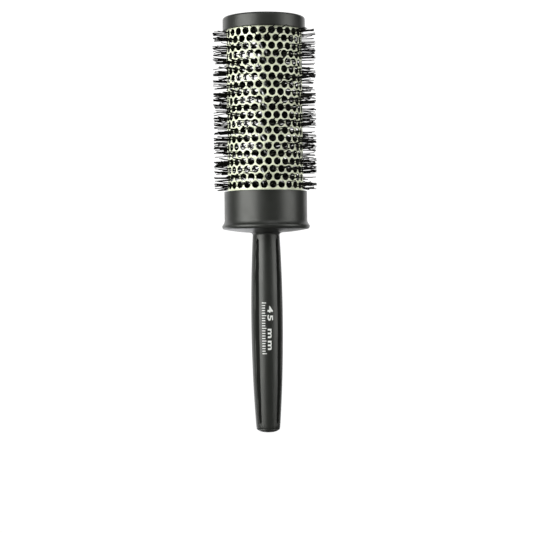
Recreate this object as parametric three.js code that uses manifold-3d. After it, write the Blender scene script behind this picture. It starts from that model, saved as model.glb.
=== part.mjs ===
// Round barrel brush: a hair-styling brush with a vented, ceramic-coated metal barrel.
// A twisted-wire brush runs through the barrel, and its nylon tufts come out of the vent holes.
// Millimetres, +Z up along the brush's axis, barrel at the top.
// The origin is on the axis at the widest place of the grip.
import * as THREE from "three";
import { mergeGeometries, mergeVertices } from "three/addons/utils/BufferGeometryUtils.js";
import Module from "manifold-3d";

const wasm = await Module();
wasm.setup();

const CLEARANCE = 0.3; // between pieces that touch on the real brush

// Barrel: a perforated tube with rows of vents, each row shifted by half a step.
const BARREL_RADIUS = 22.5;
const BARREL_WALL = 0.6;
const VENT_ROWS = 21;
const VENTS_PER_ROW = 27;
const VENT_ROW_PITCH = 4.5;
const VENT_RADIUS = 2.15;
const FIRST_VENT_Z = 80;
const FIRST_VENT_ANGLE = THREE.MathUtils.degToRad(1.5);

// Grip: two half parabolas that meet at its widest place.
const GRIP_RADIUS = 9.45;
const NECK_RADIUS = 8.05;
const NECK_Z = 50.7;
const GRIP_END_RADIUS = 7.1;
const GRIP_END_Z = -64.4;
const NECK_FLANGE_RADIUS = 9.55;
const NECK_FLANGE_HEIGHT = 1.5;
const GRIP_SPIGOT_RADIUS = 6.8; // goes up through the collar's floor
const GRIP_WALL = 2.4;
const GROOVES = 4;
const FIRST_GROOVE_ANGLE = THREE.MathUtils.degToRad(51);
const GROOVE_WIDTH = 3.2;
const GROOVE_DEPTH = 1.7;

// Collar: the cup that holds the barrel's lower end.
const COLLAR_RADIUS = 24.7;
const COLLAR_RIM_RADIUS = 26.2;
const COLLAR_TOP_Z = 76.8;
const COLLAR_FLOOR_Z = 57.5;
const COLLAR_RIM_Z = 55.8;

// End cap: closes the barrel's upper end.
const CAP_RADIUS = 24.6;
const CAP_TOP_Z = 180.4;
const CAP_EDGE_Z = 172.5;
const CAP_PLATE = 1.8;
const CAP_DISH_RADIUS = 18.5;
const CAP_DISH_DEPTH = 0.6;

// Wire core: two steel wires twisted together, left-handed.
const WIRE_RADIUS = 1.05;
const WIRE_OFFSET = WIRE_RADIUS + CLEARANCE / 2;
const TWIST_PITCH = 3 * VENT_ROW_PITCH;
const FIRST_FAN_Z = 80.45; // where the fan of filaments lies along X
const WIRE_BOTTOM_Z = 8;
const WIRE_END_ROOM = 1; // the cut ends slope, so their bores are a little deeper
const CORE_BORE_RADIUS = WIRE_OFFSET + WIRE_RADIUS + CLEARANCE + 0.05;

// Tufts: nylon filaments held between the wires and trimmed to one diameter.
const TUFT_TIP_RADIUS = 30.9;
const TUFT_WIDTH = 1.3;
const TUFT_ROOT_RADIUS = 5.4;
const TUFT_REACH = 0.52 * VENT_ROW_PITCH; // how far up or down the wires a vent's tuft starts

// Facets around each turned piece.
const BARREL_FACETS = VENTS_PER_ROW;
const TURNED_FACETS = 32;

const ventStep = (2 * Math.PI) / VENTS_PER_ROW;
const barrelInside = BARREL_RADIUS - BARREL_WALL;
const collarBore = BARREL_RADIUS + CLEARANCE;
const innerRingOut = barrelInside - CLEARANCE;
const innerRingIn = innerRingOut - 1.6;
const capPlateZ = CAP_TOP_Z - CAP_PLATE;
const coreSocketZ = capPlateZ - 1.1;

const blackPlastic = new THREE.MeshStandardMaterial({ color: 0x232423, roughness: 0.38, metalness: 0 });
const gripPlastic = new THREE.MeshStandardMaterial({ color: 0x1f201f, roughness: 0.42, metalness: 0 });
const ceramic = new THREE.MeshStandardMaterial({ color: 0xd9dcb4, roughness: 0.45, metalness: 0 });
const steel = new THREE.MeshStandardMaterial({ color: 0xb9bcbe, roughness: 0.35, metalness: 1 });
const nylon = new THREE.MeshStandardMaterial({ color: 0x111211, roughness: 0.35, metalness: 0 });

const brush = new THREE.Group();

function add(name, geometry, material) {
  const mesh = new THREE.Mesh(geometry, material);
  mesh.name = name;
  brush.add(mesh);
  return mesh;
}

// Points of an arc in the (radius, z) plane; angles in degrees, 0 pointing outwards.
function arc(r, z, radius, from, to, steps) {
  return Array.from({ length: steps + 1 }, (_, i) => {
    const a = THREE.MathUtils.degToRad(from + ((to - from) * i) / steps);
    return [r + radius * Math.cos(a), z + radius * Math.sin(a)];
  });
}

// A turned solid about Z. The outline is (radius, z) points, anticlockwise; a closed ring is joined up here.
function turned(outline, facets = TURNED_FACETS) {
  const onAxis = outline[0][0] === 0;
  const points = (onAxis ? outline : [...outline, outline[0]]).map(([r, z]) => new THREE.Vector2(r, z));
  return new THREE.LatheGeometry(points, facets).rotateX(Math.PI / 2).rotateZ(Math.PI / 2);
}

function toSolid(geometry) {
  const bare = geometry.clone();
  bare.deleteAttribute("normal");
  bare.deleteAttribute("uv");
  const merged = mergeVertices(bare, 1e-4);
  return new wasm.Manifold(
    new wasm.Mesh({
      numProp: 3,
      vertProperties: merged.attributes.position.array,
      triVerts: new Uint32Array(merged.index.array),
    }),
  );
}

function toGeometry(solid) {
  const mesh = solid.getMesh();
  const geometry = new THREE.BufferGeometry();
  geometry.setAttribute("position", new THREE.BufferAttribute(mesh.vertProperties, 3));
  geometry.setIndex(new THREE.BufferAttribute(mesh.triVerts, 1));
  geometry.computeVertexNormals();
  return geometry;
}

const ventAngle = (row, column) => FIRST_VENT_ANGLE + (column + (row % 2) / 2) * ventStep;
const ventZ = (row) => FIRST_VENT_Z + row * VENT_ROW_PITCH;

function barrelTube() {
  const bottom = COLLAR_FLOOR_Z + CLEARANCE;
  const top = capPlateZ - CLEARANCE;
  const wall = turned(
    [
      [barrelInside, bottom],
      [BARREL_RADIUS, bottom],
      [BARREL_RADIUS, top],
      [barrelInside, top],
    ],
    BARREL_FACETS,
  ).rotateZ(FIRST_VENT_ANGLE + ventStep / 2);
  const cutters = [];
  for (let row = 0; row < VENT_ROWS; row++) {
    for (let column = 0; column < VENTS_PER_ROW; column++) {
      const cutter = new THREE.CylinderGeometry(VENT_RADIUS, VENT_RADIUS, BARREL_WALL * 5, 4);
      cutter.rotateZ(Math.PI / 2).translate(BARREL_RADIUS - BARREL_WALL / 2, 0, 0);
      cutters.push(cutter.rotateZ(ventAngle(row, column)).translate(0, 0, ventZ(row)));
    }
  }
  return toGeometry(toSolid(wall).subtract(toSolid(mergeGeometries(cutters))).simplify(0.01));
}

function gripRadiusAt(z) {
  const [farRadius, farZ] = z > 0 ? [NECK_RADIUS, NECK_Z] : [GRIP_END_RADIUS, GRIP_END_Z];
  return GRIP_RADIUS - (GRIP_RADIUS - farRadius) * (z / farZ) ** 2;
}

// Heights along the grip, spread evenly between two places.
function stations(from, to, steps) {
  return Array.from({ length: steps + 1 }, (_, i) => from + ((to - from) * i) / steps);
}

function handle() {
  const gripOutline = stations(GRIP_END_Z, NECK_Z, 14).map((z) => [gripRadiusAt(z), z]);
  const filletRadius = NECK_FLANGE_RADIUS - NECK_RADIUS;
  const flangeZ = NECK_Z + filletRadius;
  const neckFillet = arc(NECK_FLANGE_RADIUS, NECK_Z, filletRadius, 180, 90, 4).slice(1);
  const flangeTop = flangeZ + NECK_FLANGE_HEIGHT;
  const spigotTop = 67;
  const coreBoreBottom = WIRE_BOTTOM_Z - WIRE_END_ROOM;
  const hollowTop = -4;
  const hollow = stations(hollowTop, GRIP_END_Z, 5).map((z) => [gripRadiusAt(z) - GRIP_WALL, z]);
  const outside = [
    ...gripOutline,
    ...neckFillet,
    [NECK_FLANGE_RADIUS, flangeTop],
    [GRIP_SPIGOT_RADIUS, flangeTop],
    [GRIP_SPIGOT_RADIUS, spigotTop],
    [CORE_BORE_RADIUS, spigotTop],
    [CORE_BORE_RADIUS, coreBoreBottom],
    [0, coreBoreBottom],
  ];
  const body = turned([[0, hollowTop], ...hollow, ...outside]);
  let solid = toSolid(body);
  for (let i = 0; i < GROOVES; i++) {
    const angle = FIRST_GROOVE_ANGLE + (i * 2 * Math.PI) / GROOVES;
    solid = solid.subtract(toSolid(grooveCutter().rotateZ(angle)));
  }
  return toGeometry(solid);
}

// A shallow groove along the grip that runs out at both ends, cut along +X.
function grooveCutter() {
  const bottom = GRIP_END_Z + 2.6;
  const top = NECK_Z - 1.9;
  const runOut = 2.2;
  const heights = [bottom, bottom + runOut, ...stations(-50, 40, 6), top - runOut, top];
  const outline = new THREE.Shape();
  outline.moveTo(gripRadiusAt(bottom) + 1, bottom);
  for (const z of heights) {
    const depth = z === bottom || z === top ? -0.1 : GROOVE_DEPTH;
    outline.lineTo(gripRadiusAt(z) - depth, z);
  }
  outline.lineTo(gripRadiusAt(top) + 1, top);
  outline.lineTo(GRIP_RADIUS + 1, 0);
  outline.closePath();
  const cutter = new THREE.ExtrudeGeometry(outline, { depth: GROOVE_WIDTH, bevelEnabled: false });
  return cutter.translate(0, 0, -GROOVE_WIDTH / 2).rotateX(Math.PI / 2);
}

function handleEndPlug() {
  const rimTop = GRIP_END_Z - 0.1;
  const rimBottom = rimTop - 0.5;
  const domeHeight = 1.9;
  const domePower = 3.2; // flat in the middle, turned up at the rim
  const rim = GRIP_END_RADIUS - 0.1;
  const spigotTop = GRIP_END_Z + 7;
  const spigot = gripRadiusAt(spigotTop + 1) - GRIP_WALL - 1;
  const dome = stations(0, 1, 6).map((s) => [rim * s, rimBottom - domeHeight * (1 - s ** domePower)]);
  return turned([...dome, [rim, rimTop - 0.2], [spigot, rimTop - 0.2], [spigot, spigotTop], [0, spigotTop]]);
}

function collar() {
  const seatRadius = NECK_FLANGE_RADIUS + CLEARANCE;
  const neckTopZ = NECK_Z + NECK_FLANGE_RADIUS - NECK_RADIUS;
  const seatZ = neckTopZ + NECK_FLANGE_HEIGHT + CLEARANCE;
  const hole = GRIP_SPIGOT_RADIUS + CLEARANCE;
  const beadRadius = 1.6;
  const beadCentre = COLLAR_RIM_RADIUS - beadRadius;
  const bead = arc(beadCentre, COLLAR_RIM_Z, beadRadius, -80, 50, 6);
  const edgeRadius = 0.5;
  const topEdge = arc(COLLAR_RADIUS - edgeRadius, COLLAR_TOP_Z - edgeRadius, edgeRadius, 0, 90, 2);
  const innerRingTop = 66;
  return turned([
    [seatRadius, seatZ],
    [seatRadius, neckTopZ + 0.1],
    ...bead,
    [COLLAR_RADIUS + 0.3, COLLAR_RIM_Z + 2.1],
    [COLLAR_RADIUS, COLLAR_RIM_Z + 3.6],
    ...topEdge,
    [collarBore, COLLAR_TOP_Z],
    [collarBore, COLLAR_FLOOR_Z],
    [innerRingOut, COLLAR_FLOOR_Z],
    [innerRingOut, innerRingTop],
    [innerRingIn, innerRingTop],
    [innerRingIn, COLLAR_FLOOR_Z],
    [hole, COLLAR_FLOOR_Z],
    [hole, seatZ],
  ]);
}

function endCap() {
  const edgeRadius = 1.3;
  const topEdge = arc(CAP_RADIUS - edgeRadius, CAP_TOP_Z - edgeRadius, edgeRadius, 0, 90, 4);
  const bossRadius = 5;
  const bossZ = CAP_EDGE_Z - 0.1;
  const innerRingZ = CAP_EDGE_Z + 0.3;
  return turned([
    [0, coreSocketZ],
    [CORE_BORE_RADIUS, coreSocketZ],
    [CORE_BORE_RADIUS, bossZ],
    [bossRadius, bossZ],
    [bossRadius, capPlateZ],
    [innerRingIn, capPlateZ],
    [innerRingIn, innerRingZ],
    [innerRingOut, innerRingZ],
    [innerRingOut, capPlateZ],
    [collarBore, capPlateZ],
    [collarBore, CAP_EDGE_Z],
    [CAP_RADIUS - 0.3, CAP_EDGE_Z],
    [CAP_RADIUS, CAP_EDGE_Z + 0.3],
    ...topEdge,
    [CAP_DISH_RADIUS, CAP_TOP_Z],
    [CAP_DISH_RADIUS - 0.8, CAP_TOP_Z - CAP_DISH_DEPTH],
    [0, CAP_TOP_Z - CAP_DISH_DEPTH],
  ]);
}

// The centre line of one wire of the twisted pair.
class TwistedWire extends THREE.Curve {
  constructor(startAngle) {
    super();
    this.startAngle = startAngle;
  }
  getPoint(t, target = new THREE.Vector3()) {
    const z = THREE.MathUtils.lerp(WIRE_BOTTOM_Z, coreSocketZ - WIRE_END_ROOM, t);
    const angle = this.startAngle + fanAngle(z) + Math.PI / 2;
    return target.set(WIRE_OFFSET * Math.cos(angle), WIRE_OFFSET * Math.sin(angle), z);
  }
}

// The azimuth in which the filaments leave the wires at a height; they also leave the opposite way.
function fanAngle(z) {
  return (-2 * Math.PI * (z - FIRST_FAN_Z)) / TWIST_PITCH;
}

function wire(startAngle) {
  const sides = 6;
  const stepsPerTurn = 7;
  const turns = (coreSocketZ - WIRE_BOTTOM_Z) / TWIST_PITCH;
  const section = new THREE.Shape();
  for (let i = 0; i < sides; i++) {
    const a = (i * 2 * Math.PI) / sides;
    section[i ? "lineTo" : "moveTo"](WIRE_RADIUS * Math.cos(a), WIRE_RADIUS * Math.sin(a));
  }
  return new THREE.ExtrudeGeometry(section, {
    steps: Math.round(turns * stepsPerTurn),
    extrudePath: new TwistedWire(startAngle),
  });
}

// Height from a vent to the nearest turn of the fan, which passes each azimuth twice per pitch.
function fanOffset(row, column) {
  const halfPitch = TWIST_PITCH / 2;
  const fanZ = FIRST_FAN_Z - (ventAngle(row, column) * TWIST_PITCH) / (2 * Math.PI);
  const offset = (ventZ(row) - fanZ) / halfPitch;
  return Math.abs(offset - Math.round(offset)) * halfPitch;
}

// The tufts that come out of one row of vents, joined at their roots around the wires.
function bristleRow(row) {
  const outline = new THREE.Shape();
  const polar = (radius, angle) => [radius * Math.cos(angle), radius * Math.sin(angle)];
  outline.moveTo(...polar(TUFT_ROOT_RADIUS, ventAngle(row, -0.5)));
  for (let column = 0; column < VENTS_PER_ROW; column++) {
    const angle = ventAngle(row, column);
    if (fanOffset(row, column) < TUFT_REACH) {
      const halfTip = TUFT_WIDTH / 2 / TUFT_TIP_RADIUS;
      outline.lineTo(...polar(TUFT_TIP_RADIUS, angle - halfTip));
      outline.lineTo(...polar(TUFT_TIP_RADIUS, angle + halfTip));
    }
    if (column < VENTS_PER_ROW - 1) outline.lineTo(...polar(TUFT_ROOT_RADIUS, angle + ventStep / 2));
  }
  outline.closePath();
  const hub = new THREE.Path();
  const hubSides = 9;
  for (let i = 0; i < hubSides; i++) {
    const point = polar(CORE_BORE_RADIUS + 0.15, (-i * 2 * Math.PI) / hubSides);
    hub[i ? "lineTo" : "moveTo"](...point);
  }
  outline.holes.push(hub);
  const tufts = new THREE.ExtrudeGeometry(outline, { depth: TUFT_WIDTH, bevelEnabled: false });
  return tufts.translate(0, 0, ventZ(row) - TUFT_WIDTH / 2);
}

add("handle", handle(), gripPlastic);
add("handle_end_plug", handleEndPlug(), gripPlastic);
add("collar", collar(), blackPlastic);
add("barrel_tube", barrelTube(), ceramic);
add("end_cap", endCap(), blackPlastic);
add("core_wire_a", wire(0), steel);
add("core_wire_b", wire(Math.PI), steel);
for (let row = 0; row < VENT_ROWS; row++) {
  add(`bristle_row_${String(row + 1).padStart(2, "0")}`, bristleRow(row), nylon);
}

export default brush;
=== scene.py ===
"""Round barrel brush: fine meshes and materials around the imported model.

Lengths are in millimetres until mesh_piece() makes a mesh of them. Angles are azimuths about +Z, in radians.
The camera stands on the -Y side, so azimuth -90 degrees faces it and azimuth 0 is the right-hand outline.
"""

import math
import random

import bmesh
import bpy
import numpy as np
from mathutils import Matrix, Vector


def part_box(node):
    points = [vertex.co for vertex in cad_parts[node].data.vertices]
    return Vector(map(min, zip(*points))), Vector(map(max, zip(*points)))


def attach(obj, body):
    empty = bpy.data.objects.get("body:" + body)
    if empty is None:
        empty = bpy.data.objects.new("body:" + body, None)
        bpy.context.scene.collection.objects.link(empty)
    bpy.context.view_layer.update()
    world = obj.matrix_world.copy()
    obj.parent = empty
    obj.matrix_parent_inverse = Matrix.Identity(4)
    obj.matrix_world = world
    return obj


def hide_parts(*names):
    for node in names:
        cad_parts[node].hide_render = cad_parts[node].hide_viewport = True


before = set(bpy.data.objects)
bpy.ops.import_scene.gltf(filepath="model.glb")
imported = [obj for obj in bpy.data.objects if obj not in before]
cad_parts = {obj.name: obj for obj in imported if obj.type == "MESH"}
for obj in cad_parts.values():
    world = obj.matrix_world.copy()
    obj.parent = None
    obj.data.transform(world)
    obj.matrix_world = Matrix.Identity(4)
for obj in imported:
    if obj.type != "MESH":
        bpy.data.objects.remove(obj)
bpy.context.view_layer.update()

MM = 0.001
TAU = 2 * math.pi


# ---------------------------------------------------------------- sizes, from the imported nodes
def z_span(node):
    """A node's lowest and highest point."""
    low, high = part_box(node)
    return low.z / MM, high.z / MM


def outer_radius(node):
    """How far a node reaches from the brush's axis."""
    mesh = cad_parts[node].data
    return max(math.hypot(v.co.x, v.co.y) for v in mesh.vertices) / MM


BRISTLE_NODES = sorted(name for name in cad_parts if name.startswith("bristle_row_"))
VENT_ROWS = len(BRISTLE_NODES)
VENTS_PER_ROW = 27
VENT_STEP = TAU / VENTS_PER_ROW
VENT_RADIUS = 2.15
FIRST_VENT_ANGLE = math.radians(1.5)
VENT_Z = [sum(z_span(name)) / 2 for name in BRISTLE_NODES]
VENT_ROW_PITCH = (VENT_Z[-1] - VENT_Z[0]) / (VENT_ROWS - 1)
TWIST_PITCH = 3 * VENT_ROW_PITCH
FIRST_FAN_Z = VENT_Z[0] + 0.45

BARREL_RADIUS = outer_radius("barrel_tube")
BARREL_WALL = 0.6
BARREL_BOTTOM, BARREL_TOP = z_span("barrel_tube")
TUFT_TIP_RADIUS = outer_radius(BRISTLE_NODES[0])
COLLAR_BOTTOM, COLLAR_TOP = z_span("collar")
COLLAR_RIM_RADIUS = outer_radius("collar")
CAP_EDGE, CAP_TOP = z_span("end_cap")
CAP_RADIUS = outer_radius("end_cap")
GRIP_END, SPIGOT_TOP = z_span("handle")
WIRE_BOTTOM, WIRE_TOP = z_span("core_wire_a")
PLUG_BOTTOM, PLUG_TOP = z_span("handle_end_plug")

GRIP_RADIUS = 9.45
NECK_RADIUS = 8.05
NECK_Z = 50.7
GRIP_END_RADIUS = 7.1
NECK_FLANGE_RADIUS = outer_radius("handle")
NECK_TOP = NECK_Z + NECK_FLANGE_RADIUS - NECK_RADIUS
SPIGOT_RADIUS = 6.8
CORE_BORE_RADIUS = 2.6


def vent_angle(row, column):
    """The azimuth of a vent's middle; every second row is half a step further round."""
    return FIRST_VENT_ANGLE + (column + (row % 2) / 2) * VENT_STEP


def fan_angle(z):
    """The azimuth in which the filaments leave the twisted wires at a height."""
    return -TAU * (z - FIRST_FAN_Z) / TWIST_PITCH


# ---------------------------------------------------------------- materials
NOISE_SPAN = (0.3, 0.7)  # nearly all values of a noise texture lie in here


class Shader:
    """A principled material whose node tree is built by short calls.

    The colour and roughness it starts with stay as the plain values under any texture linked later.
    """

    def __init__(self, name, colour, roughness, **sockets):
        self.material = bpy.data.materials.new(name)
        self.material.use_nodes = True
        self.tree = self.material.node_tree
        self.surface = self.tree.nodes["Principled BSDF"]
        self.set("Base Color", (*colour, 1))
        self.set("Roughness", roughness)
        for socket, value in sockets.items():
            self.set(socket.replace("_", " "), value)
        self.coordinates = self.tree.nodes.new("ShaderNodeTexCoord").outputs["Object"]

    def set(self, socket, value):
        self.surface.inputs[socket].default_value = value

    def noise(self, size_mm, detail=2.0, stretch=(1, 1, 1)):
        """Noise whose grains are about size_mm wide."""
        mapping = self.tree.nodes.new("ShaderNodeMapping")
        mapping.inputs["Scale"].default_value = stretch
        self.tree.links.new(self.coordinates, mapping.inputs["Vector"])
        node = self.tree.nodes.new("ShaderNodeTexNoise")
        node.inputs["Scale"].default_value = 1 / (size_mm * MM)
        node.inputs["Detail"].default_value = detail
        self.tree.links.new(mapping.outputs["Vector"], node.inputs["Vector"])
        return node.outputs["Fac"]

    def roughness(self, noise, low, high):
        """Varies the roughness between low and high."""
        node = self.tree.nodes.new("ShaderNodeMapRange")
        node.inputs["From Min"].default_value = NOISE_SPAN[0]
        node.inputs["From Max"].default_value = NOISE_SPAN[1]
        node.inputs["To Min"].default_value = low
        node.inputs["To Max"].default_value = high
        self.tree.links.new(noise, node.inputs["Value"])
        self.tree.links.new(node.outputs["Result"], self.surface.inputs["Roughness"])

    def colours(self, value, low, high, span=NOISE_SPAN):
        """Varies the colour from low to high while the value runs through its span."""
        ramp = self.tree.nodes.new("ShaderNodeValToRGB")
        ramp.color_ramp.elements[0].position = span[0]
        ramp.color_ramp.elements[1].position = span[1]
        ramp.color_ramp.elements[0].color = (*low, 1)
        ramp.color_ramp.elements[1].color = (*high, 1)
        self.tree.links.new(value, ramp.inputs["Fac"])
        self.tree.links.new(ramp.outputs["Color"], self.surface.inputs["Base Color"])

    def bump(self, noise, depth_mm):
        """Raises the surface by up to depth_mm."""
        node = self.tree.nodes.new("ShaderNodeBump")
        node.inputs["Distance"].default_value = depth_mm * MM
        node.inputs["Strength"].default_value = 1.0
        self.tree.links.new(noise, node.inputs["Height"])
        self.tree.links.new(node.outputs["Normal"], self.surface.inputs["Normal"])


def black_plastic():
    """Satin moulded plastic with a fine spark-eroded grain."""
    shader = Shader("black_plastic", (0.012, 0.013, 0.0115), roughness=0.4)
    shader.colours(shader.noise(size_mm=14), (0.011, 0.012, 0.0105), (0.014, 0.015, 0.0135))
    shader.roughness(shader.noise(size_mm=6, detail=4), low=0.36, high=0.44)
    shader.bump(shader.noise(size_mm=0.35, detail=3), depth_mm=0.012)
    return shader.material


def handle_plastic():
    """The same plastic, a little smoother where hands polish it."""
    shader = Shader("handle_plastic", (0.009, 0.010, 0.0085), roughness=0.42, Specular_IOR_Level=0.56)
    shader.colours(shader.noise(size_mm=16), (0.008, 0.009, 0.0075), (0.011, 0.012, 0.0105))
    shader.roughness(shader.noise(size_mm=5, detail=4, stretch=(1, 1, 0.4)), low=0.38, high=0.46)
    shader.bump(shader.noise(size_mm=0.4, detail=3), depth_mm=0.01)
    return shader.material


def ceramic_coat():
    """Sprayed cream ceramic coat with a slight orange peel."""
    shader = Shader("ceramic_coat", (0.74, 0.775, 0.585), roughness=0.42, Specular_IOR_Level=0.9)
    shader.colours(shader.noise(size_mm=0.3, detail=3), (0.69, 0.72, 0.535), (0.79, 0.83, 0.64))
    shader.roughness(shader.noise(size_mm=1.2), low=0.36, high=0.5)
    shader.bump(shader.noise(size_mm=0.9, detail=3), depth_mm=0.02)
    return shader.material


def aluminium_painted_shade():
    """The barrel's uncoated inside and the walls of its vents, with faint lines from rolling; their very
    dark metal colour is painted shade, far darker than aluminium's own.
    """
    # the base colour 0.08 paints the shade inside the barrel and in its vents; bare aluminium is far lighter
    shader = Shader("aluminium_painted_shade", (0.08, 0.08, 0.083), roughness=0.38, Metallic=1.0)
    shader.roughness(shader.noise(size_mm=0.5, detail=3, stretch=(1, 1, 0.05)), low=0.3, high=0.46)
    shader.bump(shader.noise(size_mm=0.4, stretch=(1, 1, 0.05)), depth_mm=0.006)
    return shader.material


def steel_wire():
    """Galvanised drawn wire."""
    shader = Shader("steel_wire", (0.62, 0.63, 0.65), roughness=0.3, Metallic=1.0)
    shader.colours(shader.noise(size_mm=1.5, detail=4), (0.50, 0.51, 0.53), (0.74, 0.75, 0.77))
    shader.roughness(shader.noise(size_mm=0.6, detail=4), low=0.22, high=0.42)
    shader.bump(shader.noise(size_mm=0.25), depth_mm=0.01)
    return shader.material


def black_nylon():
    """Nylon filament, each one a slightly different black."""
    shader = Shader("black_nylon", (0.003, 0.003, 0.003), roughness=0.5, Specular_IOR_Level=0.08)
    island = shader.tree.nodes.new("ShaderNodeNewGeometry").outputs["Random Per Island"]
    shader.colours(island, (0.001, 0.001, 0.001), (0.005, 0.005, 0.0045), span=(0.0, 1.0))
    shader.roughness(shader.noise(size_mm=0.8), low=0.44, high=0.56)
    return shader.material


def white_ink():
    """Pad-printed ink, thin enough to vary a little."""
    shader = Shader("white_ink", (0.72, 0.73, 0.72), roughness=0.5)
    shader.colours(shader.noise(size_mm=0.4, detail=3), (0.58, 0.59, 0.58), (0.78, 0.79, 0.78))
    shader.bump(shader.noise(size_mm=0.3), depth_mm=0.004)
    return shader.material


# ---------------------------------------------------------------- mesh helpers
FILLET_STEPS = 5
ON_AXIS = 1e-6  # a smaller radius counts as a point of the axis


def mesh_piece(name, points, faces, materials, replaces=(), second=None, smooth_below=40):
    """A piece from points in millimetres. second gives each face's material, 0 or 1."""
    mesh = bpy.data.meshes.new(name)
    mesh.from_pydata([tuple(p) for p in np.asarray(points, dtype=float) * MM], [], faces)
    for material in materials:
        mesh.materials.append(material)
    if second is not None:
        mesh.polygons.foreach_set("material_index", second)
    mesh.polygons.foreach_set("use_smooth", [True] * len(mesh.polygons))
    mesh.set_sharp_from_angle(angle=math.radians(smooth_below))
    mesh.validate()
    piece = bpy.data.objects.new(name, mesh)
    bpy.context.collection.objects.link(piece)
    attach(piece, "root")
    if replaces:
        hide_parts(*replaces)
    return piece


def rounded(corners):
    """An outline of (radius, z) points from (radius, z, fillet) corners."""
    outline = []
    for i, (r, z, fillet) in enumerate(corners):
        if not fillet:
            outline.append((r, z))
            continue
        here = np.array((r, z))
        back = np.array(corners[i - 1][:2]) - here
        ahead = np.array(corners[(i + 1) % len(corners)][:2]) - here
        back = back / np.linalg.norm(back)
        ahead = ahead / np.linalg.norm(ahead)
        half = math.acos(np.clip(back @ ahead, -1, 1)) / 2
        middle = (back + ahead) / np.linalg.norm(back + ahead)
        centre = here + middle * fillet / math.sin(half)
        start = here + back * fillet / math.tan(half) - centre
        end = here + ahead * fillet / math.tan(half) - centre
        first = math.atan2(start[1], start[0])
        turn = (math.atan2(end[1], end[0]) - first + math.pi) % TAU - math.pi
        for k in range(FILLET_STEPS + 1):
            a = first + turn * k / FILLET_STEPS
            outline.append(tuple(centre + fillet * np.array((math.cos(a), math.sin(a)))))
    return outline


def arc(r, z, radius, start, end, steps):
    """Points of an arc in the (radius, z) plane; angles in degrees, 0 pointing outwards."""
    angles = [math.radians(start + (end - start) * k / steps) for k in range(steps + 1)]
    return [(r + radius * math.cos(a), z + radius * math.sin(a)) for a in angles]


def turned(outline, segments, dent=None):
    """Points and faces of a solid of revolution. dent(r, z, azimuth) gives how far a point is sunk."""
    starts_on_axis = outline[0][0] < ON_AXIS
    points = []
    rings = []
    for r, z in outline:
        if r < ON_AXIS:
            rings.append([len(points)] * segments)
            points.append((0.0, 0.0, z))
            continue
        rings.append(list(range(len(points), len(points) + segments)))
        for k in range(segments):
            a = TAU * k / segments
            s = r - (dent(r, z, a) if dent else 0.0)
            points.append((s * math.cos(a), s * math.sin(a), z))
    faces = []
    for i in range(len(outline) - (1 if starts_on_axis else 0)):
        low, high = rings[i], rings[(i + 1) % len(rings)]
        for k in range(segments):
            n = (k + 1) % segments
            corners = (low[k], low[n], high[n], high[k])
            face = tuple(dict.fromkeys(corners))
            if len(face) > 2:
                faces.append(face)
    return points, faces


# ---------------------------------------------------------------- handle and plug
GROOVES = 4
FIRST_GROOVE_ANGLE = math.radians(51)
GROOVE_WIDTH = 3.2
GROOVE_DEPTH = 1.7
GROOVE_BOTTOM = GRIP_END + 2.6
GROOVE_TOP = NECK_Z - 1.9
GROOVE_RUN_OUT = 1.8
GROOVE_END_WIDTH = 0.3  # the least share of its width that a groove keeps as it runs out
GROOVE_TAPER = 0.42
GROOVE_POWER = 1.2  # 1 would be a sharp V
SKIN = 0.01  # points this close to the grip's surface count as on it
LIP_RADIUS = 0.3
GRIP_BOTTOM = GRIP_END + 0.4
GRIP_STEPS = 70
RUN_OUT_STEPS = 8
HANDLE_SEGMENTS = 360
PLUG_SEGMENTS = 192


def grip_radius(z):
    """The grip's barrel-shaped outline, widest at height 0."""
    far_radius, far_z = (NECK_RADIUS, NECK_Z) if z > 0 else (GRIP_END_RADIUS, GRIP_END)
    return GRIP_RADIUS - (GRIP_RADIUS - far_radius) * (z / far_z) ** 2


def groove_dent(r, z, azimuth):
    """Nearly a V, widest where the grip is thickest."""
    if not GROOVE_BOTTOM < z < GROOVE_TOP or r < grip_radius(z) - SKIN:
        return 0.0
    to_end = min(z - GROOVE_BOTTOM, GROOVE_TOP - z) / GROOVE_RUN_OUT
    fade = math.sin(min(to_end, 1) * math.pi / 2)
    swell = 1 - GROOVE_TAPER * (z / (GROOVE_TOP if z > 0 else GROOVE_BOTTOM)) ** 2
    step = TAU / GROOVES
    off = ((azimuth - FIRST_GROOVE_ANGLE + step / 2) % step - step / 2) * r
    across = abs(off) / (GROOVE_WIDTH / 2 * swell * max(fade, GROOVE_END_WIDTH))
    if across >= 1:
        return 0.0
    return GROOVE_DEPTH * fade * (1 - across**GROOVE_POWER)


def grip_heights():
    """Heights along the grip, closer together where the grooves run out."""
    coarse = np.linspace(GRIP_BOTTOM, NECK_Z, GRIP_STEPS)
    bottom = np.linspace(GROOVE_BOTTOM, GROOVE_BOTTOM + GROOVE_RUN_OUT, RUN_OUT_STEPS)
    top = np.linspace(GROOVE_TOP - GROOVE_RUN_OUT, GROOVE_TOP, RUN_OUT_STEPS)
    return sorted({round(float(z), 4) for z in (*coarse, *bottom, *top)})


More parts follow.
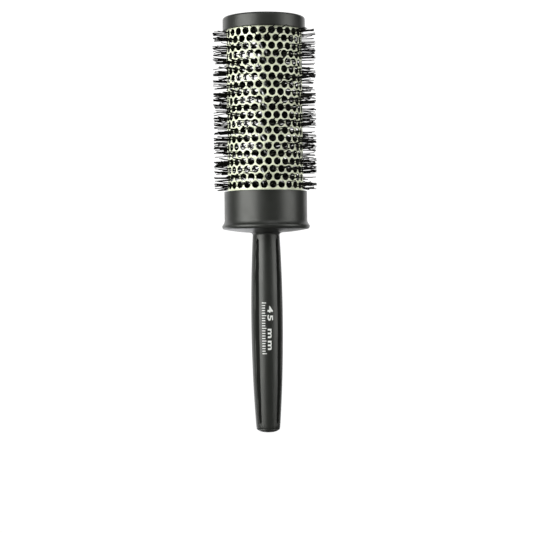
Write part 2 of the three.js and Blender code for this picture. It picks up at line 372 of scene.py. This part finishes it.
def make_handle(material):
    """The grip, hollow from below, its flared neck and the spigot that goes up into the collar."""
    grip_wall = 2.4
    hollow_top = -4.0
    hollow_steps = 8
    bore_bottom = WIRE_BOTTOM - 0.6
    fillet = NECK_FLANGE_RADIUS - NECK_RADIUS
    flange_top = NECK_TOP + 1.5
    hollow = [(grip_radius(z) - grip_wall, z) for z in np.linspace(hollow_top, GRIP_END, hollow_steps)]
    lip = arc(grip_radius(GRIP_END) - LIP_RADIUS, GRIP_END + LIP_RADIUS, LIP_RADIUS, -90, 0, steps=3)
    grip = [(grip_radius(z), z) for z in grip_heights()]
    neck = arc(NECK_FLANGE_RADIUS, NECK_Z, fillet, 180, 90, steps=10)[1:]
    outline = [
        (0.0, hollow_top),
        *hollow,
        *lip,
        *grip,
        *neck,
        (NECK_FLANGE_RADIUS, flange_top),
        (SPIGOT_RADIUS, flange_top),
        (SPIGOT_RADIUS, SPIGOT_TOP),
        (CORE_BORE_RADIUS, SPIGOT_TOP),
        (CORE_BORE_RADIUS, bore_bottom),
        (0.0, bore_bottom),
    ]
    points, faces = turned(outline, HANDLE_SEGMENTS, groove_dent)
    mesh_piece("handle_moulding", points, faces, [material], ["handle"])


def make_plug(material):
    """The domed plug under the grip; the gap between the two shows as a fine parting line."""
    parting_gap = 0.12
    rim = GRIP_END_RADIUS - 0.1
    rim_top = GRIP_END - parting_gap
    rim_fillet = 0.2
    dome_edge = GRIP_END - 0.6
    dome_power = 3.2  # flat in the middle, turned up at the rim
    dome_steps = 16
    height = dome_edge - PLUG_BOTTOM
    spigot_height = 8
    spigot_inset = 3.4  # the grip's wall and some room
    spigot = grip_radius(GRIP_END + spigot_height) - spigot_inset
    steps = [k / dome_steps for k in range(dome_steps + 1)]
    dome = [(rim * s, dome_edge - height * (1 - s**dome_power)) for s in steps]
    outline = [
        *dome,
        *arc(rim - rim_fillet, rim_top - rim_fillet, rim_fillet, 0, 90, steps=3),
        (spigot, rim_top),
        (spigot, PLUG_TOP),
        (0.0, PLUG_TOP),
    ]
    points, faces = turned(outline, PLUG_SEGMENTS)
    mesh_piece("end_plug", points, faces, [material], ["handle_end_plug"])


# ---------------------------------------------------------------- collar and end cap
COLLAR_RADIUS = 24.7
CLEARANCE = 0.3
SLEEVE_RADIUS = BARREL_RADIUS + 0.05
RING_OUT = BARREL_RADIUS - BARREL_WALL - CLEARANCE
RING_IN = RING_OUT - 1.6
CUP_SEGMENTS = 256


def make_collar(material):
    """The cup under the barrel: a beaded rim, a shallow cone below, and a ring inside the barrel."""
    bead = 1.6
    bead_r = COLLAR_RIM_RADIUS - bead
    bead_start = -80  # degrees; the underside meets the bead here
    rim_z = 55.8
    flare = 4.5
    flare_r = COLLAR_RADIUS + flare
    rise = math.sqrt((flare + bead) ** 2 - (flare_r - bead_r) ** 2)
    join = math.degrees(math.atan2(rise, flare_r - bead_r))  # where flare and bead run on into each other
    outer_edge = 0.4
    inner_edge = 0.2
    floor_z = BARREL_BOTTOM - CLEARANCE
    seat_radius = NECK_FLANGE_RADIUS + 0.1
    seat_z = NECK_TOP + 1.6
    hole = SPIGOT_RADIUS + 0.1
    ring_top = 66.0
    bead_arc = arc(bead_r, rim_z, bead, bead_start, join, steps=16)
    bulge = 0.3
    underside_steps = 8
    underside_r = bead_arc[0][0] - seat_radius
    underside_rise = bead_arc[0][1] - COLLAR_BOTTOM
    underside = []
    for k in range(underside_steps):
        t = k / underside_steps
        sag = 4 * bulge * t * (1 - t)
        underside.append((seat_radius + underside_r * t, COLLAR_BOTTOM + underside_rise * t - sag))
    outline = [
        (seat_radius, seat_z),
        *underside,
        *bead_arc,
        *arc(flare_r, rim_z + rise, flare, 180 + join, 180, steps=10)[1:],
        *arc(COLLAR_RADIUS - outer_edge, COLLAR_TOP - outer_edge, outer_edge, 0, 90, steps=6),
        *arc(SLEEVE_RADIUS + inner_edge, COLLAR_TOP - inner_edge, inner_edge, 90, 180, steps=4),
        (SLEEVE_RADIUS, floor_z),
        (RING_OUT, floor_z),
        (RING_OUT, ring_top),
        (RING_IN, ring_top),
        (RING_IN, floor_z),
        (hole, floor_z),
        (hole, seat_z),
    ]
    points, faces = turned(outline, CUP_SEGMENTS)
    mesh_piece("collar_cup", points, faces, [material], ["collar"])


def make_end_cap(material):
    """The cap: a shallow dish on top, a skirt round the barrel, a ring inside it and the wires' socket."""
    plate = 1.8
    plate_z = CAP_TOP - plate
    socket_z = plate_z - 1.1
    boss = 5.0
    boss_fillet = 0.4
    edge = 0.2  # rounding of the thin edges inside
    ring_edge_z = CAP_EDGE + 0.3
    skirt_edge_z = CAP_EDGE + 0.1
    dish = 18.5
    dish_z = CAP_TOP - 0.6
    dish_slope = 0.8
    corners = [  # radius, height, rounding
        (0.0, socket_z, 0),
        (CORE_BORE_RADIUS, socket_z, 0),
        (CORE_BORE_RADIUS, CAP_EDGE, edge),
        (boss, CAP_EDGE, boss_fillet),
        (boss, plate_z, boss_fillet),
        (RING_IN, plate_z, 0),
        (RING_IN, ring_edge_z, edge),
        (RING_OUT, ring_edge_z, edge),
        (RING_OUT, plate_z, 0),
        (SLEEVE_RADIUS, plate_z, 0),
        (SLEEVE_RADIUS, skirt_edge_z, 0.15),
        (CAP_RADIUS, skirt_edge_z, 0.3),
        (CAP_RADIUS, CAP_TOP, 1.3),
        (dish, CAP_TOP, 0.35),
        (dish - dish_slope, dish_z, 0.5),
        (0.0, dish_z, 0),
    ]
    points, faces = turned(rounded(corners), CUP_SEGMENTS)
    mesh_piece("end_cap_moulding", points, faces, [material], ["end_cap"])


# ---------------------------------------------------------------- vented barrel
def make_barrel(coat, bare_metal_painted_shade):
    """The tube as one closed mesh: a four-sided cell with a round hole for each vent, on both surfaces."""
    side = 6  # border edges on each side of a vent's cell
    around = 4 * side
    columns = VENTS_PER_ROW * side
    column_step = VENT_STEP / side
    half_height = VENT_ROW_PITCH / 2
    inside = BARREL_RADIUS - BARREL_WALL
    edge = 0.09  # rounding of the coated edge of a vent
    half_way = 0.3 * edge  # the rounding's middle ring, near its corner
    coated_strips = 3  # from the cell's border to the rounding; the vent's wall and the inside are bare, in a metal painted dark as shade
    points = []
    index = {}

    def surface_point(layer, column, level):
        """A shared point of the cells' border: a column of the grid and a level in sixths of a row."""
        key = (layer, column % columns, level)
        if key not in index:
            index[key] = len(points)
            radius = BARREL_RADIUS if layer == 0 else inside
            a = FIRST_VENT_ANGLE + column * column_step
            z = VENT_Z[0] - half_height + level * VENT_ROW_PITCH / side
            points.append((radius * math.cos(a), radius * math.sin(a), z))
        return index[key]

    def border(layer, row, column):
        """The cell's border from its upper right corner, anticlockwise seen from outside."""
        middle = column * side + (row % 2) * side // 2
        left, right = middle - side // 2, middle + side // 2
        low, high = row * side, (row + 1) * side
        loop = [(right - k, high) for k in range(side)]
        loop += [(left, high - k) for k in range(side)]
        loop += [(left + k, low) for k in range(side)]
        loop += [(right, low + k) for k in range(side)]
        return [surface_point(layer, c, level) for c, level in loop]

    def ring(row, column, vent_radius, radius):
        """A ring round a vent, which starts towards the corner where the cell's border starts."""
        start = len(points)
        for k in range(around):
            a = TAU * (k / around + 1 / 8)
            azimuth = vent_angle(row, column) + vent_radius * math.cos(a) / BARREL_RADIUS
            z = VENT_Z[row] + vent_radius * math.sin(a)
            points.append((radius * math.cos(azimuth), radius * math.sin(azimuth), z))
        return list(range(start, start + around))

    faces = []
    bare_faces = []

    def strip(a, b, is_bare):
        """Faces between two rings with as many points each."""
        for k in range(len(a)):
            n = (k + 1) % len(a)
            faces.append((a[k], a[n], b[n], b[k]))
            bare_faces.append(int(is_bare))

    for row in range(VENT_ROWS):
        for column in range(VENTS_PER_ROW):
            rings = [
                border(0, row, column),
                ring(row, column, VENT_RADIUS + edge, BARREL_RADIUS),
                ring(row, column, VENT_RADIUS + half_way, BARREL_RADIUS - half_way),
                ring(row, column, VENT_RADIUS, BARREL_RADIUS - edge),
                ring(row, column, VENT_RADIUS, inside),
                border(1, row, column),
            ]
            for i in range(len(rings) - 1):
                strip(rings[i], rings[i + 1], i >= coated_strips)

    def end_ring(layer, z):
        """The tube's outer or inner edge at one of its ends."""
        start = len(points)
        radius = BARREL_RADIUS if layer == 0 else inside
        for k in range(columns):
            a = FIRST_VENT_ANGLE + k * column_step
            points.append((radius * math.cos(a), radius * math.sin(a), z))
        return list(range(start, start + columns))

    bottom = [end_ring(layer, BARREL_BOTTOM) for layer in (0, 1)]
    top = [end_ring(layer, BARREL_TOP) for layer in (0, 1)]
    low = [[surface_point(layer, k, 0) for k in range(columns)] for layer in (0, 1)]
    high = [[surface_point(layer, k, VENT_ROWS * side) for k in range(columns)] for layer in (0, 1)]
    strip(bottom[0], low[0], False)
    strip(high[0], top[0], False)
    strip(top[0], top[1], True)
    strip(top[1], high[1], True)
    strip(low[1], bottom[1], True)
    strip(bottom[1], bottom[0], True)
    piece = mesh_piece(
        "vented_barrel",
        points,
        faces,
        [coat, bare_metal_painted_shade],
        ["barrel_tube"],
        second=bare_faces,
    )
    outward(piece)


def outward(piece):
    """Makes a closed mesh's faces point out."""
    bm = bmesh.new()
    bm.from_mesh(piece.data)
    bmesh.ops.recalc_face_normals(bm, faces=bm.faces)
    bm.to_mesh(piece.data)
    bm.free()


# ---------------------------------------------------------------- twisted wire core
WIRE_RADIUS = 1.14
WIRE_OFFSET = 1.17
WIRE_SIDES = 16
WIRE_STEPS_PER_MM = 3
WIRE_END_GAP = 0.6


def tube(path, radius, sides, across, up):
    """Points and faces of a capped tube along a path; across and up span each section."""
    points = []
    for p, u, v in zip(path, across, up):
        for k in range(sides):
            a = TAU * k / sides
            points.append(p + radius * (math.cos(a) * u + math.sin(a) * v))
    faces = []
    for i in range(len(path) - 1):
        for k in range(sides):
            n = (k + 1) % sides
            a, b = i * sides, (i + 1) * sides
            faces.append((a + k, a + n, b + n, b + k))
    faces.append(tuple(reversed(range(sides))))
    last = (len(path) - 1) * sides
    faces.append(tuple(range(last, last + sides)))
    return points, faces


def make_wire(name, start_angle, material):
    """One wire of the pair, a helix that keeps to one side of the fan of filaments."""
    steps = int((WIRE_TOP - WIRE_BOTTOM) * WIRE_STEPS_PER_MM)
    heights = np.linspace(WIRE_BOTTOM + WIRE_END_GAP, WIRE_TOP - WIRE_END_GAP, steps)
    climb = TWIST_PITCH / TAU
    path, across, up = [], [], []
    for z in heights:
        a = fan_angle(z) + math.pi / 2 + start_angle
        out = np.array((math.cos(a), math.sin(a), 0.0))
        along = np.array((math.sin(a) * WIRE_OFFSET, -math.cos(a) * WIRE_OFFSET, climb))
        along = along / np.linalg.norm(along)
        path.append(WIRE_OFFSET * out + np.array((0.0, 0.0, z)))
        across.append(out)
        up.append(np.cross(along, out))
    points, faces = tube(path, WIRE_RADIUS, WIRE_SIDES, across, up)
    piece = mesh_piece(name + "_drawn", points, faces, [material], [name], smooth_below=50)
    outward(piece)


# ---------------------------------------------------------------- tufts of nylon filaments
SEED = 52
FILAMENT_RADIUS = 0.24
FILAMENT_SIDES = 5
FILAMENT_STOPS = (0.8, 6.0, 11.0, 15.0, 19.0, 22.6, 24.2, 26.0, 28.0)
LEAST_STEP = 0.2  # from the last stop to the tip
FILAMENTS_PER_TURN = 165
FAN_BELOW = 0.75  # how far the fan goes on below the lowest vents, in rows
FAN_ABOVE = 0.55  # the same above the highest vents
FAN_SPREAD = 0.05  # radians
START_SPREAD = 0.15
HELD_RADIUS = 2  # the wires hold a filament straight up to here
LEAN = 0.65  # how much of its slope inside the barrel a filament keeps outside

STRANDS_PER_VENT = 3
STRAND_MARGIN = 0.45
STRAND_BEND = 0.35
STRAND_LOOSENESS = 0.1
LONER_SHARE = 0.1  # filaments that keep to no strand
LONER_MARGIN = 0.5
LONER_BEND = 0.8
FILAMENT_BEND = 0.1

TIP_CLEARANCE = 0.1
TRIM_SPREAD = 0.22
TRIMMED_SHARE = 0.1  # filaments that were cut shorter
TRIMMED_BY = 4  # at most

INNER_PER_TURN = 20  # filaments that missed the vents
INNER_STOPS = (0.8, 7, 14)
INNER_SWING = 0.08  # radians
INNER_DROP = 1.0
INNER_GAP = 0.6
INNER_TRIM = 2.5  # at most


def nearest_vent(azimuth, z):
    """The row, column and unwound azimuth of the vent that a filament finds."""
    best = None
    for row in range(VENT_ROWS):
        if abs(VENT_Z[row] - z) > VENT_ROW_PITCH:
            continue
        column = round((azimuth - vent_angle(row, 0)) / VENT_STEP)
        sideways = (vent_angle(row, column) - azimuth) * BARREL_RADIUS
        distance = math.hypot(sideways, VENT_Z[row] - z)
        if best is None or distance < best[0]:
            best = (distance, row, vent_angle(row, column))
    return best[1:] if best else None


def spot_in(radius, rng):
    """A random place in a disc, as (sideways, up)."""
    distance, turn = radius * math.sqrt(rng.random()), rng.random() * TAU
    return distance * math.cos(turn), distance * math.sin(turn)


def make_strand(spread, bend, rng):
    """Where a strand lies in its vent and how far its tip is bent, both as (sideways, up)."""
    return spot_in(spread, rng), (rng.gauss(0, bend), rng.gauss(0, bend))


def filament(start_azimuth, start_z, vent_azimuth, vent_z, strands, rng):
    """Points along one filament from the wires through its vent to its trimmed tip."""
    if rng.random() < LONER_SHARE:
        (side, rise), (bend_side, bend_z) = make_strand(VENT_RADIUS - LONER_MARGIN, LONER_BEND, rng)
    else:
        (side, rise), (bend_side, bend_z) = rng.choice(strands)
    hole_z = vent_z + rise + rng.gauss(0, STRAND_LOOSENESS)
    hole_azimuth = vent_azimuth + (side + rng.gauss(0, STRAND_LOOSENESS)) / BARREL_RADIUS
    tip_radius = TUFT_TIP_RADIUS - TIP_CLEARANCE - abs(rng.gauss(0, TRIM_SPREAD))
    if rng.random() < TRIMMED_SHARE:
        tip_radius -= TRIMMED_BY * rng.random()
    free_length = BARREL_RADIUS - HELD_RADIUS
    rise_per_mm = (hole_z - start_z) / free_length * LEAN
    swing_per_mm = (hole_azimuth - start_azimuth) * BARREL_RADIUS / free_length * LEAN
    bend_z += rng.gauss(0, FILAMENT_BEND)
    bend_side += rng.gauss(0, FILAMENT_BEND)
    path = []
    stops = [stop for stop in FILAMENT_STOPS if stop < tip_radius - LEAST_STEP]
    for r in (*stops, tip_radius):
        if r <= BARREL_RADIUS:
            s = (max(r - HELD_RADIUS, 0) / free_length) ** 2
            z = start_z + (hole_z - start_z) * s
            azimuth = start_azimuth + (hole_azimuth - start_azimuth) * s
        else:
            out = r - BARREL_RADIUS
            curve = (out / (TUFT_TIP_RADIUS - BARREL_RADIUS)) ** 2
            z = hole_z + rise_per_mm * out + bend_z * curve
            azimuth = hole_azimuth + (swing_per_mm * out + bend_side * curve) / r
        path.append((r, azimuth, z))
    return path


def inner_filament(azimuth, z, rng):
    """A filament that missed the vents and ends inside the barrel."""
    azimuth += rng.gauss(0, INNER_SWING)
    drop = rng.gauss(0, INNER_DROP)
    swing = rng.gauss(0, INNER_SWING)
    tip = BARREL_RADIUS - BARREL_WALL - INNER_GAP - INNER_TRIM * rng.random()
    path = []
    for r in (*INNER_STOPS, tip):
        bent = (r / tip) ** 2
        path.append((r, azimuth + swing * bent, z + drop * bent))
    return path


def add_mesh(row_mesh, points, faces):
    """Adds points and faces to a row's own."""
    all_points, all_faces = row_mesh
    shift = len(all_points)
    all_points.extend(points)
    all_faces.extend(tuple(v + shift for v in face) for face in faces)


def filament_mesh(path):
    """Points and faces of a thin tube along (radius, azimuth, z) points."""
    centres, across = [], []
    for r, azimuth, z in path:
        centres.append(np.array((r * math.cos(azimuth), r * math.sin(azimuth), z)))
        across.append(np.array((-math.sin(azimuth), math.cos(azimuth), 0.0)))
    up = [np.array((0.0, 0.0, 1.0))] * len(path)
    return tube(centres, FILAMENT_RADIUS, FILAMENT_SIDES, across, up)


def make_tufts(material):
    """All filaments, one piece for each row of vents."""
    rng = random.Random(SEED)
    low = VENT_Z[0] - VENT_ROW_PITCH * FAN_BELOW
    high = VENT_Z[-1] + VENT_ROW_PITCH * FAN_ABOVE
    count = int((high - low) / TWIST_PITCH * FILAMENTS_PER_TURN)
    rows = {row: ([], []) for row in range(VENT_ROWS)}
    strands = {}
    for i in range(count):
        z = low + (high - low) * (i + rng.random()) / count
        for half_turn in (0, math.pi):
            azimuth = fan_angle(z) + half_turn + rng.gauss(0, FAN_SPREAD)
            vent = nearest_vent(azimuth, z)
            if vent is None:
                continue
            row, vent_azimuth = vent
            key = (row, round(vent_azimuth % TAU, 3))
            if key not in strands:
                spread = VENT_RADIUS - STRAND_MARGIN
                strands[key] = [make_strand(spread, STRAND_BEND, rng) for _ in range(STRANDS_PER_VENT)]
            start_z = z + rng.gauss(0, START_SPREAD)
            path = filament(azimuth, start_z, vent_azimuth, VENT_Z[row], strands[key], rng)
            add_mesh(rows[row], *filament_mesh(path))
    for _ in range(int((high - low) / TWIST_PITCH * INNER_PER_TURN)):
        z = low + (high - low) * rng.random()
        half_turn = rng.choice((0, math.pi))
        row = min(range(VENT_ROWS), key=lambda k: abs(VENT_Z[k] - z))
        add_mesh(rows[row], *filament_mesh(inner_filament(fan_angle(z) + half_turn, z, rng)))
    for row, (points, faces) in rows.items():
        node = BRISTLE_NODES[row]
        name = node.replace("bristle_row", "tufts")
        piece = mesh_piece(name, points, faces, [material], [node])
        outward(piece)


# ---------------------------------------------------------------- size mark on the handle
INK = 0.05  # thickness
INK_GAP = 0.02  # keeps it clear of the grip's facets
TEXT_SIZE = 4.5
TEXT_LENGTH = 26
TEXT_MERGE = 0.002  # closes the seams between a letter's faces and sides
TEXT_TOP, TEXT_SIDE = 8.6, 0.4
SCALE_TOP, SCALE_SIDE = 11.2, -3.1
TICK_PITCH = 1.5
TICK_COUNT = 21
TICK_THICKNESS = 0.5
TICK_LENGTH = 2.0
FIFTH_TICK_LENGTH = 2.6
INK_CUTS = 40  # lengthwise cuts, so that the ink can follow the round grip
INK_CUT_PITCH = 0.25


def size_text():
    """The barrel's size in millimetres as a flat bmesh, which starts at x = 0."""
    text = bpy.data.curves.new("size_text", "FONT")
    text.body = f"{2 * BARREL_RADIUS:.0f} mm"
    text.size = TEXT_SIZE * MM
    text.space_character = 1.25
    text.offset = 0.1 * MM
    text.extrude = INK / 2 * MM
    text.resolution_u = 6
    shape = bpy.data.objects.new("size_text", text)
    bpy.context.collection.objects.link(shape)
    bpy.context.view_layer.update()
    graph = bpy.context.evaluated_depsgraph_get()
    mesh = bpy.data.meshes.new_from_object(shape.evaluated_get(graph))
    bpy.data.objects.remove(shape)
    bm = bmesh.new()
    bm.from_mesh(mesh)
    bmesh.ops.remove_doubles(bm, verts=bm.verts, dist=TEXT_MERGE * MM)
    low = min(v.co.x for v in bm.verts)
    high = max(v.co.x for v in bm.verts)
    for v in bm.verts:
        v.co.x = (v.co.x - low) / (high - low) * TEXT_LENGTH * MM
    return bm


def add_tick(bm, along, length):
    """A short bar across the text's direction, in the same flat layout."""
    bar = bmesh.ops.create_cube(bm, size=MM)["verts"]
    for v in bar:
        v.co.x = v.co.x * TICK_THICKNESS + along * MM
        v.co.y = v.co.y * length + length / 2 * MM
        v.co.z = v.co.z * INK


def make_size_mark(material):
    """The barrel's size read down the grip, and a plain scale of ticks beside it."""
    bm = size_text()
    for v in bm.verts:
        v.co.x += (SCALE_TOP - TEXT_TOP) * MM
        v.co.y += (TEXT_SIDE - SCALE_SIDE) * MM
    for k in range(TICK_COUNT):
        add_tick(bm, (k + 0.5) * TICK_PITCH, TICK_LENGTH if k % 5 else FIFTH_TICK_LENGTH)
    for k in range(INK_CUTS):
        cut = (0, k * INK_CUT_PITCH * MM, 0)
        every = bm.verts[:] + bm.edges[:] + bm.faces[:]
        bmesh.ops.bisect_plane(bm, geom=every, plane_co=cut, plane_no=(0, 1, 0))
    points = []
    for v in bm.verts:
        z = SCALE_TOP - v.co.x / MM
        radius = grip_radius(z) + INK_GAP + INK / 2 + v.co.z / MM
        a = -math.pi / 2 + (SCALE_SIDE + v.co.y / MM) / GRIP_RADIUS
        points.append((radius * math.cos(a), radius * math.sin(a), z))
    bm.verts.index_update()
    faces = [tuple(v.index for v in f.verts) for f in bm.faces]
    bm.free()
    piece = mesh_piece("size_mark", points, faces, [material])
    outward(piece)


# ---------------------------------------------------------------- build the brush
cup_plastic = black_plastic()
grip_plastic = handle_plastic()
drawn_steel = steel_wire()
make_handle(grip_plastic)
make_plug(grip_plastic)
make_collar(cup_plastic)
make_end_cap(cup_plastic)
make_barrel(ceramic_coat(), aluminium_painted_shade())
make_wire("core_wire_a", 0, drawn_steel)
make_wire("core_wire_b", math.pi, drawn_steel)
make_tufts(black_nylon())
make_size_mark(white_ink())


# ---------------------------------------------------------------- studio, in metres
WHITE = (1, 1, 1)
WARM = (0.985, 1.0, 0.955)
COOL = (0.96, 0.97, 1.0)


def split_by_ray(tree, seen, otherwise, output_type):
    """Links a node tree's output so that the camera sees one shader and every other ray another."""
    rays = tree.nodes.new("ShaderNodeLightPath")
    mix = tree.nodes.new("ShaderNodeMixShader")
    output = tree.nodes.new(output_type)
    tree.links.new(rays.outputs["Is Camera Ray"], mix.inputs["Fac"])
    tree.links.new(otherwise, mix.inputs[1])
    tree.links.new(seen, mix.inputs[2])
    tree.links.new(mix.outputs["Shader"], output.inputs["Surface"])


def floor_paper():
    """White paper lit up to pure white for the camera, and dimmer as a source of light."""
    material = bpy.data.materials.new("floor_paper")
    material.use_nodes = True
    tree = material.node_tree
    tree.nodes.clear()
    glow = tree.nodes.new("ShaderNodeEmission")
    glow.inputs["Strength"].default_value = 1.05
    paper = tree.nodes.new("ShaderNodeBsdfDiffuse")
    paper.inputs["Color"].default_value = (0.2, 0.2, 0.2, 1)
    split_by_ray(tree, glow.outputs["Emission"], paper.outputs["BSDF"], "ShaderNodeOutputMaterial")
    return material


def make_floor():
    """A round white floor well below the brush."""
    radius = 6.0
    level = -0.45
    sides = 64
    corners = []
    for k in range(sides):
        a = TAU * k / sides
        corners.append((radius * math.cos(a), radius * math.sin(a), level))
    mesh = bpy.data.meshes.new("floor")
    mesh.from_pydata(corners, [], [tuple(range(sides))])
    mesh.materials.append(floor_paper())
    floor = bpy.data.objects.new("floor", mesh)
    bpy.context.collection.objects.link(floor)


def area_light(name, width, height, power, location, rotation, colour=WHITE):
    """A rectangular soft light that the camera doesn't see. It shines along its own -Z."""
    light = bpy.data.lights.new(name, "AREA")
    light.shape = "RECTANGLE"
    light.size = width
    light.size_y = height
    light.energy = power
    light.color = colour
    lamp = bpy.data.objects.new(name, light)
    lamp.location = location
    lamp.rotation_euler = rotation
    lamp.visible_camera = False
    bpy.context.collection.objects.link(lamp)


def softbox(name, azimuth, distance, z, width, height, power, colour=WHITE):
    """An upright soft light that faces the brush's axis.

    Its azimuth is in degrees from the camera's side, positive to the viewer's right.
    """
    a = math.radians(azimuth)
    location = (distance * math.sin(a), -distance * math.cos(a), z)
    area_light(name, width, height, power, location, (math.pi / 2, 0, a), colour)


def floor_sweep():
    """A glowing strip of the floor behind the brush, which its collar reflects from below."""
    area_light(
        "floor_sweep",
        width=1.6,
        height=0.9,
        power=12,
        location=(-0.82, 1.0, -0.44),
        rotation=(math.pi, 0, 0),
        colour=COOL,
    )


def overhead_fill():
    """A soft light from above the camera, too high for the upright walls to mirror it."""
    area_light(
        "overhead_fill",
        width=0.6,
        height=0.6,
        power=2.5,
        location=(0.3, -0.8, 1.05),
        rotation=(math.radians(41), 0, math.radians(20)),
    )


def make_world():
    """White paper behind for the camera, and a dim even light for everything else."""
    world = bpy.data.worlds.new("studio")
    bpy.context.scene.world = world
    world.use_nodes = True
    tree = world.node_tree
    tree.nodes.clear()
    seen = tree.nodes.new("ShaderNodeBackground")
    seen.inputs["Color"].default_value = (*WHITE, 1)
    seen.inputs["Strength"].default_value = 1.1
    lighting = tree.nodes.new("ShaderNodeBackground")
    lighting.inputs["Color"].default_value = (*WHITE, 1)
    lighting.inputs["Strength"].default_value = 0.04
    split_by_ray(tree, seen.outputs["Background"], lighting.outputs["Background"], "ShaderNodeOutputWorld")


def make_camera():
    """A long lens that looks level at the brush, rolled a little because the brush leans."""
    distance = 0.896
    height = 0.032
    roll = math.radians(0.66)
    camera = bpy.data.cameras.new("camera")
    camera.lens = 101.3
    camera.sensor_width = 36
    camera.clip_start = 0.01
    camera.clip_end = 50
    holder = bpy.data.objects.new("camera", camera)
    holder.location = (0, -distance, height)
    holder.rotation_euler = (math.pi / 2, roll, 0)
    bpy.context.collection.objects.link(holder)
    bpy.context.scene.camera = holder


make_camera()
make_floor()
make_world()
overhead_fill()
softbox("key_left", azimuth=-52, distance=1.1, z=0.35, width=1.04, height=1.2, power=25.5, colour=WARM)
softbox("key_right", azimuth=68, distance=1.1, z=0.4, width=0.75, height=1.2, power=10.4, colour=WARM)
softbox("backdrop_glow", azimuth=-173, distance=1.5, z=0.06, width=3.6, height=2.4, power=42)
floor_sweep()
bpy.context.scene.view_settings.view_transform = "Standard"
